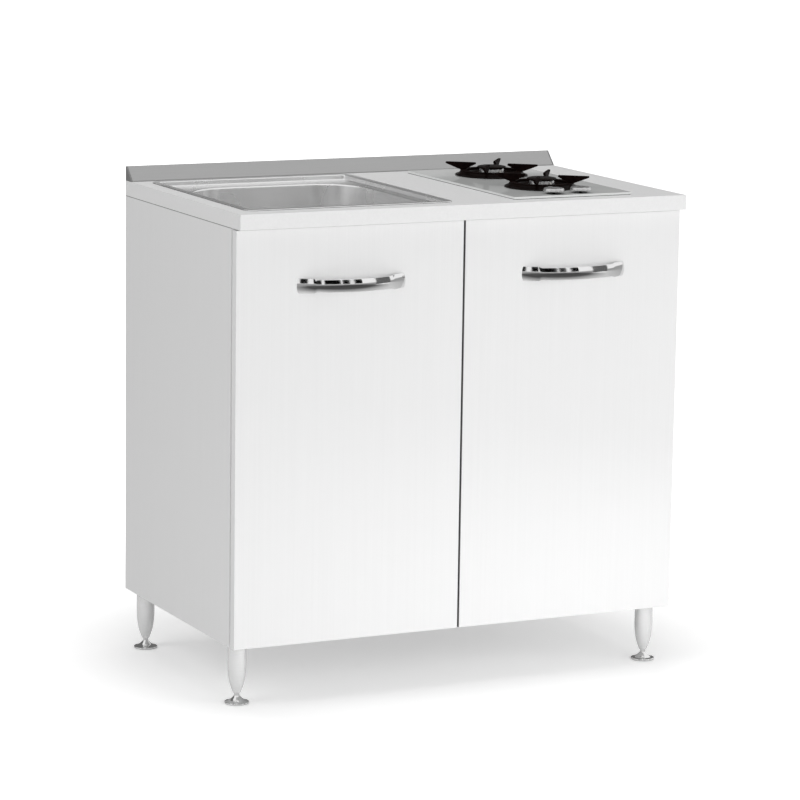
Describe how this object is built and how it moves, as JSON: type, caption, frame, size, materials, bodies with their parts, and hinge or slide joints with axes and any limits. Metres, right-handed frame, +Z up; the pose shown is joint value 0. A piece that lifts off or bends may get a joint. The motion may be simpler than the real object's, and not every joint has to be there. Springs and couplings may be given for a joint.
{
  "type": "kitchenette unit with sink and hob",
  "caption": "Two-door base cabinet on levelling legs with a worktop, low splashback, inset steel sink and a two-burner glass gas hob.",
  "frame": {"origin": "on the floor under the middle of the unit's box, handles included", "axes": "+X to the right seen from the front, doors face -Y, +Z up"},
  "size_m": [0.9, 0.562, 0.9283],
  "materials": {
    "white_melamine": "satin white melamine on chipboard",
    "grey_laminate": "fine matt light grey laminate on chipboard",
    "white_hardboard": "lacquered thin hardboard",
    "beech": "bare beech",
    "zinc_plated_steel": "zinc plated",
    "anodised_aluminium": "lengthwise brushed, anodised",
    "dark_plastic": "fine textured",
    "stainless_steel": "satin stainless",
    "black_rubber": "matt",
    "white_plastic": "moulded",
    "white_glass": "toughened glass, white enamelled underneath",
    "black_enamel": "black vitreous enamel",
    "cast_iron": "black enamelled casting",
    "burner_aluminium": "die cast",
    "silver_knob": "fine turned",
    "brass": "turned",
    "white_ceramic": "glazed",
    "bright_chrome": "polished",
    "satin_leg_steel": "satin spun"
  },
  "bodies": {
    "cabinet": {"left_side_panel": "white_melamine", "right_side_panel": "white_melamine", "bottom_panel": "white_melamine", "front_rail": "white_melamine", "rear_rail": "white_melamine", "back_panel": "white_hardboard", "cam_locks": "zinc_plated_steel", "cam_bolts": "zinc_plated_steel", "wood_dowels": "beech", "worktop_brackets": "zinc_plated_steel", "worktop": "grey_laminate", "splashback": "anodised_aluminium", "splashback_end_caps": "dark_plastic", "splashback_screws": "zinc_plated_steel", "sink_bowl": "stainless_steel", "sink_seal": "black_rubber", "sink_clips": "zinc_plated_steel", "drain_body": "stainless_steel", "drain_gasket": "black_rubber", "drain_nut": "white_plastic", "trap_body": "white_plastic", "trap_nuts": "white_plastic", "waste_pipe": "white_plastic", "hob_glass": "white_glass", "hob_seal": "black_rubber", "hob_tray": "stainless_steel", "hob_clamps": "zinc_plated_steel", "rear_burner_cup": "black_enamel", "front_burner_cup": "black_enamel", "gas_taps": "brass", "gas_rail": "brass", "burner_pipes": "burner_aluminium", "igniters": "white_ceramic", "hinge_arms": "zinc_plated_steel", "hinge_plates": "zinc_plated_steel", "leg_sockets": "dark_plastic", "legs": "satin_leg_steel"},
    "left_door": {"left_door": "white_melamine", "left_handle": "bright_chrome", "left_handle_screws": "zinc_plated_steel", "left_hinge_cups": "zinc_plated_steel"},
    "right_door": {"right_door": "white_melamine", "right_handle": "bright_chrome", "right_handle_screws": "zinc_plated_steel", "right_hinge_cups": "zinc_plated_steel"},
    "left_tap_spindle": {"left_tap_spindle": "brass"},
    "right_tap_spindle": {"right_tap_spindle": "brass"},
    "left_knob": {"left_knob": "silver_knob"},
    "right_knob": {"right_knob": "silver_knob"},
    "strainer_basket": {"strainer_basket": "stainless_steel"},
    "rear_pan_support": {"rear_pan_support": "cast_iron"},
    "front_pan_support": {"front_pan_support": "cast_iron"},
    "rear_burner_crown": {"rear_burner_crown": "burner_aluminium"},
    "front_burner_crown": {"front_burner_crown": "burner_aluminium"},
    "rear_burner_cap": {"rear_burner_cap": "black_enamel"},
    "front_burner_cap": {"front_burner_cap": "black_enamel"},
    "front_left_foot": {"front_left_foot": "bright_chrome"},
    "front_right_foot": {"front_right_foot": "bright_chrome"},
    "rear_left_foot": {"rear_left_foot": "bright_chrome"},
    "rear_right_foot": {"rear_right_foot": "bright_chrome"}
  },
  "joints": [
    {"name": "left_door_hinge", "type": "hinge", "parent": "cabinet", "child": "left_door", "pos_m": [-0.4415, -0.24, 0.4905], "axis": [0, 0, -1], "range_deg": [0, 95]},
    {"name": "right_door_hinge", "type": "hinge", "parent": "cabinet", "child": "right_door", "pos_m": [0.4415, -0.24, 0.4905], "axis": [0, 0, 1], "range_deg": [0, 95]},
    {"name": "left_knob_push", "type": "slide", "parent": "cabinet", "child": "left_tap_spindle", "axis": [0, 0, -1], "range_m": [0, 0.003], "stiffness_N_per_m": 700, "springref_m": -0.003},
    {"name": "left_knob_turn", "type": "hinge", "parent": "left_tap_spindle", "child": "left_knob", "pos_m": [0.2045, -0.205, 0.912], "axis": [0, 0, 1], "range_deg": [0, 200]},
    {"name": "right_knob_push", "type": "slide", "parent": "cabinet", "child": "right_tap_spindle", "axis": [0, 0, -1], "range_m": [0, 0.003], "stiffness_N_per_m": 700, "springref_m": -0.003},
    {"name": "right_knob_turn", "type": "hinge", "parent": "right_tap_spindle", "child": "right_knob", "pos_m": [0.2605, -0.205, 0.912], "axis": [0, 0, 1], "range_deg": [0, 200]},
    {"name": "strainer_lift", "type": "slide", "parent": "cabinet", "child": "strainer_basket", "axis": [0, 0, 1], "range_m": [0, 0.25]},
    {"name": "rear_support_lift", "type": "slide", "parent": "cabinet", "child": "rear_pan_support", "axis": [0, 0, 1], "range_m": [0, 0.1]},
    {"name": "rear_crown_lift", "type": "slide", "parent": "cabinet", "child": "rear_burner_crown", "axis": [0, 0, 1], "range_m": [0, 0.08]},
    {"name": "rear_cap_lift", "type": "slide", "parent": "rear_burner_crown", "child": "rear_burner_cap", "axis": [0, 0, 1], "range_m": [0, 0.05]},
    {"name": "front_support_lift", "type": "slide", "parent": "cabinet", "child": "front_pan_support", "axis": [0, 0, 1], "range_m": [0, 0.1]},
    {"name": "front_crown_lift", "type": "slide", "parent": "cabinet", "child": "front_burner_crown", "axis": [0, 0, 1], "range_m": [0, 0.08]},
    {"name": "front_cap_lift", "type": "slide", "parent": "front_burner_crown", "child": "front_burner_cap", "axis": [0, 0, 1], "range_m": [0, 0.05]},
    {"name": "front_left_foot_adjust", "type": "slide", "parent": "cabinet", "child": "front_left_foot", "axis": [0, 0, -1], "range_m": [0, 0.012]},
    {"name": "front_right_foot_adjust", "type": "slide", "parent": "cabinet", "child": "front_right_foot", "axis": [0, 0, -1], "range_m": [0, 0.012]},
    {"name": "rear_left_foot_adjust", "type": "slide", "parent": "cabinet", "child": "rear_left_foot", "axis": [0, 0, -1], "range_m": [0, 0.012]},
    {"name": "rear_right_foot_adjust", "type": "slide", "parent": "cabinet", "child": "rear_right_foot", "axis": [0, 0, -1], "range_m": [0, 0.012]}
  ]
}
